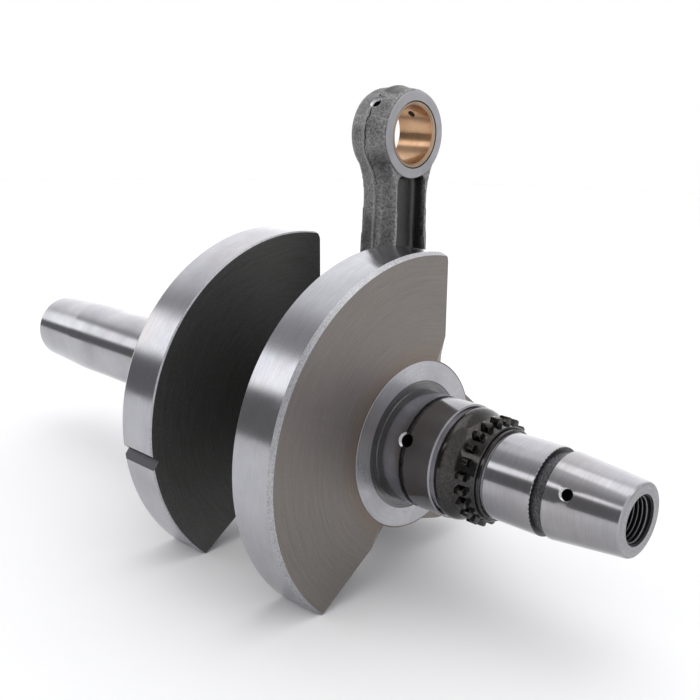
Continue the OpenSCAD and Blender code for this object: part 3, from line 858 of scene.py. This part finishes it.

# %% [markdown]
# ## Bronze
#
# The small end bush is phosphor bronze, pressed in and then fine bored, so
# its bore mirrors like a warm glass while the tool's lines run round it. Its
# end faces are a darker, duller bronze. The thrust washers beside
# the big end are the same metal, lapped flat, and the roller cage is steel
# with a thin brown plating.

# %% Bronze and plated steel
bush_bronze = ground_metal(
    "bored_bronze_bush", "#cdaa8a", "#b68e6a", "#946c49", 0.6, 0.24, eye, 0.5, 0.5
)
bush_edge = ground_metal("darkened_bronze_edge", "#b39c85", "#8f7a66", "#6d5b4b", 0.5, 0.35, eye)
washer_bronze = ground_metal(
    "lapped_bronze_washer", "#b98f5c", "#a07a4b", "#80603d", 0.5, 0.3, big, 0.3
)
cage_steel = ground_metal("plated_steel_cage", "#9c8f78", "#857a66", "#6d5f4a", 0.5, 0.32, big)
pin_steel = ground_metal("ground_steel_pin", "#b6b6ba", "#a6a6aa", "#98928c", 0.3, 0.14, big)
plug_steel = ground_metal("pressed_steel_plug", "#8d8d90", "#77777a", "#6f6a66", 0.5, 0.35, big)
roller_steel = ground_metal("superfinished_steel_roller", "#c6c6ca", "#bcbcc0", "#aaa6a2", 0.2, 0.1, big)
plain = {
    "crank_pin": pin_steel,
    "pin_plug_timing_side": plug_steel,
    "pin_plug_drive_side": plug_steel,
    "big_end_cage": cage_steel,
    "thrust_washer_timing_side": washer_bronze,
    "thrust_washer_drive_side": washer_bronze,
}
plain.update({name: roller_steel for name in nodes if name.startswith("big_end_roller")})
for name, finish in plain.items():
    nodes[name].data.materials.clear()
    nodes[name].data.materials.append(finish)
bush_mesh = nodes["small_end_bush"].data
bush_mesh.materials.clear()
bush_mesh.materials.append(bush_bronze)
bush_mesh.materials.append(bush_edge)
for face in bush_mesh.polygons:
    if abs(face.normal.x) > 0.3:
        face.material_index = 1
print("finishes on", len(plain) + 1, "plain pieces")

# %% [markdown]
# ## Floor and light
#
# A white table and a white sky make a light tent, the usual way to show
# polished metal: a mirror only looks like metal when it has something bright
# and something dark to mirror. The dark part here is a low band on the side
# of the drive end, where the tent is open to the room. A strip lamp above it
# draws the narrow bright line along every shaft. Directions are counted as a
# height above the horizon and a bearing round Z, both in degrees.

# %% Floor
floor_mesh = bpy.data.meshes.new("floor")
bm = bmesh.new()
bmesh.ops.create_circle(bm, cap_ends=True, segments=96, radius=1.6)
bmesh.ops.translate(bm, verts=bm.verts, vec=(0, 0, cad_low.z - 0.0002))
bm.to_mesh(floor_mesh)
bm.free()
floor = add_piece("floor", floor_mesh)
floor_paint, tree = new_material("matte_white_table")
paint = {"Base Color": linear("#f8f8f8"), "Roughness": 0.9, "Specular IOR Level": 0.1}
close_material(tree, put(tree, "ShaderNodeBsdfPrincipled", paint))
floor_mesh.materials.append(floor_paint)

# %% Light tent
world = bpy.data.worlds.new("light_tent")
world.use_nodes = True
bpy.context.scene.world = world
tree = world.node_tree
tree.nodes.clear()
way = put(tree, "ShaderNodeTexCoord").outputs["Generated"]
way = put(tree, "ShaderNodeSeparateXYZ", [way]).outputs
DEGREES = math.degrees(1)
height = put(tree, "ShaderNodeMath", [way["Z"]], operation="ARCSINE").outputs[0]
height = put(tree, "ShaderNodeMath", (height, DEGREES), operation="MULTIPLY").outputs[0]
bearing = put(tree, "ShaderNodeMath", (way["Y"], way["X"]), operation="ARCTAN2").outputs[0]
bearing = put(tree, "ShaderNodeMath", (bearing, DEGREES), operation="MULTIPLY").outputs[0]
print("directions in degrees")

# %% Where the tent is open, and where its strip lamp hangs
SOFT = {"interpolation_type": "SMOOTHSTEP"}
past_start = put(tree, "ShaderNodeMapRange", (bearing, -180, -160), **SOFT).outputs[0]
before_end = put(tree, "ShaderNodeMapRange", (bearing, -62, -100), **SOFT).outputs[0]
open_side = (past_start, before_end)
open_side = put(tree, "ShaderNodeMath", open_side, operation="MULTIPLY").outputs[0]
edges = []
for slope, at_zero, soft_from, soft_to in ((0.5, 89.5, -4.0, 2.0), (0.26, 71.2, -3.0, 3.0)):
    edge = (bearing, slope, at_zero)
    edge = put(tree, "ShaderNodeMath", edge, operation="MULTIPLY_ADD").outputs[0]
    over = put(tree, "ShaderNodeMath", (height, edge), operation="SUBTRACT").outputs[0]
    over = (over, soft_from, soft_to)
    edges.append(put(tree, "ShaderNodeMapRange", over, **SOFT).outputs[0])
above_low, above_high = edges
above_all = put(tree, "ShaderNodeMapRange", (height, 46.0, 80.0), **SOFT).outputs[0]
print("open side from bearing -180 to -62 degrees")

# %% Brightness of the tent
TENT, BACK, LAMP, DARK, SHADE = 1.0, 1.5, 2.0, 0.2, 0.42
sideways = put(tree, "ShaderNodeMath", (way["X"], -0.64), operation="MULTIPLY").outputs[0]
back = (way["Y"], 0.77, sideways)
back = put(tree, "ShaderNodeMath", back, operation="MULTIPLY_ADD").outputs[0]
back = put(tree, "ShaderNodeMapRange", (back, 0.3, 0.8), **SOFT).outputs[0]
tent = (back, BACK - TENT, TENT)
tent = put(tree, "ShaderNodeMath", tent, operation="MULTIPLY_ADD").outputs[0]
light = DARK
for reached, change in ((above_low, LAMP - DARK), (above_high, SHADE - LAMP), (above_all, TENT - SHADE)):
    light = put(tree, "ShaderNodeMath", (reached, change, light), operation="MULTIPLY_ADD").outputs[0]
light = put(tree, "ShaderNodeMath", (light, tent), operation="SUBTRACT").outputs[0]
light = put(tree, "ShaderNodeMath", (light, open_side, tent), operation="MULTIPLY_ADD").outputs[0]
lit = put(tree, "ShaderNodeBackground", {"Color": (1.0, 1.0, 1.02, 1.0), "Strength": light})
seen = put(tree, "ShaderNodeBackground", {"Color": (1, 1, 1, 1), "Strength": 1.0})
path = put(tree, "ShaderNodeLightPath")
mixed = put(tree, "ShaderNodeMixShader", [path.outputs["Is Camera Ray"]])
tree.links.new(lit.outputs[0], mixed.inputs[1])
tree.links.new(seen.outputs[0], mixed.inputs[2])
out = put(tree, "ShaderNodeOutputWorld")
tree.links.new(mixed.outputs[0], out.inputs["Surface"])
bpy.context.scene.view_settings.view_transform = "Standard"
print("light tent ready")


# %% Overhead softbox
softbox = bpy.data.lights.new("overhead_softbox", "AREA")
softbox.shape = "RECTANGLE"
softbox.size, softbox.size_y = 1.0, 1.0
softbox.energy = 3
lamp = bpy.data.objects.new("overhead_softbox", softbox)
lamp.location = (0.1, 0.1, 1.3)
lamp.rotation_euler = (-lamp.location).to_track_quat("-Z", "Y").to_euler()
lamp.visible_camera = False
bpy.context.scene.collection.objects.link(lamp)

# %% Last update of the scene
bpy.context.view_layer.update()
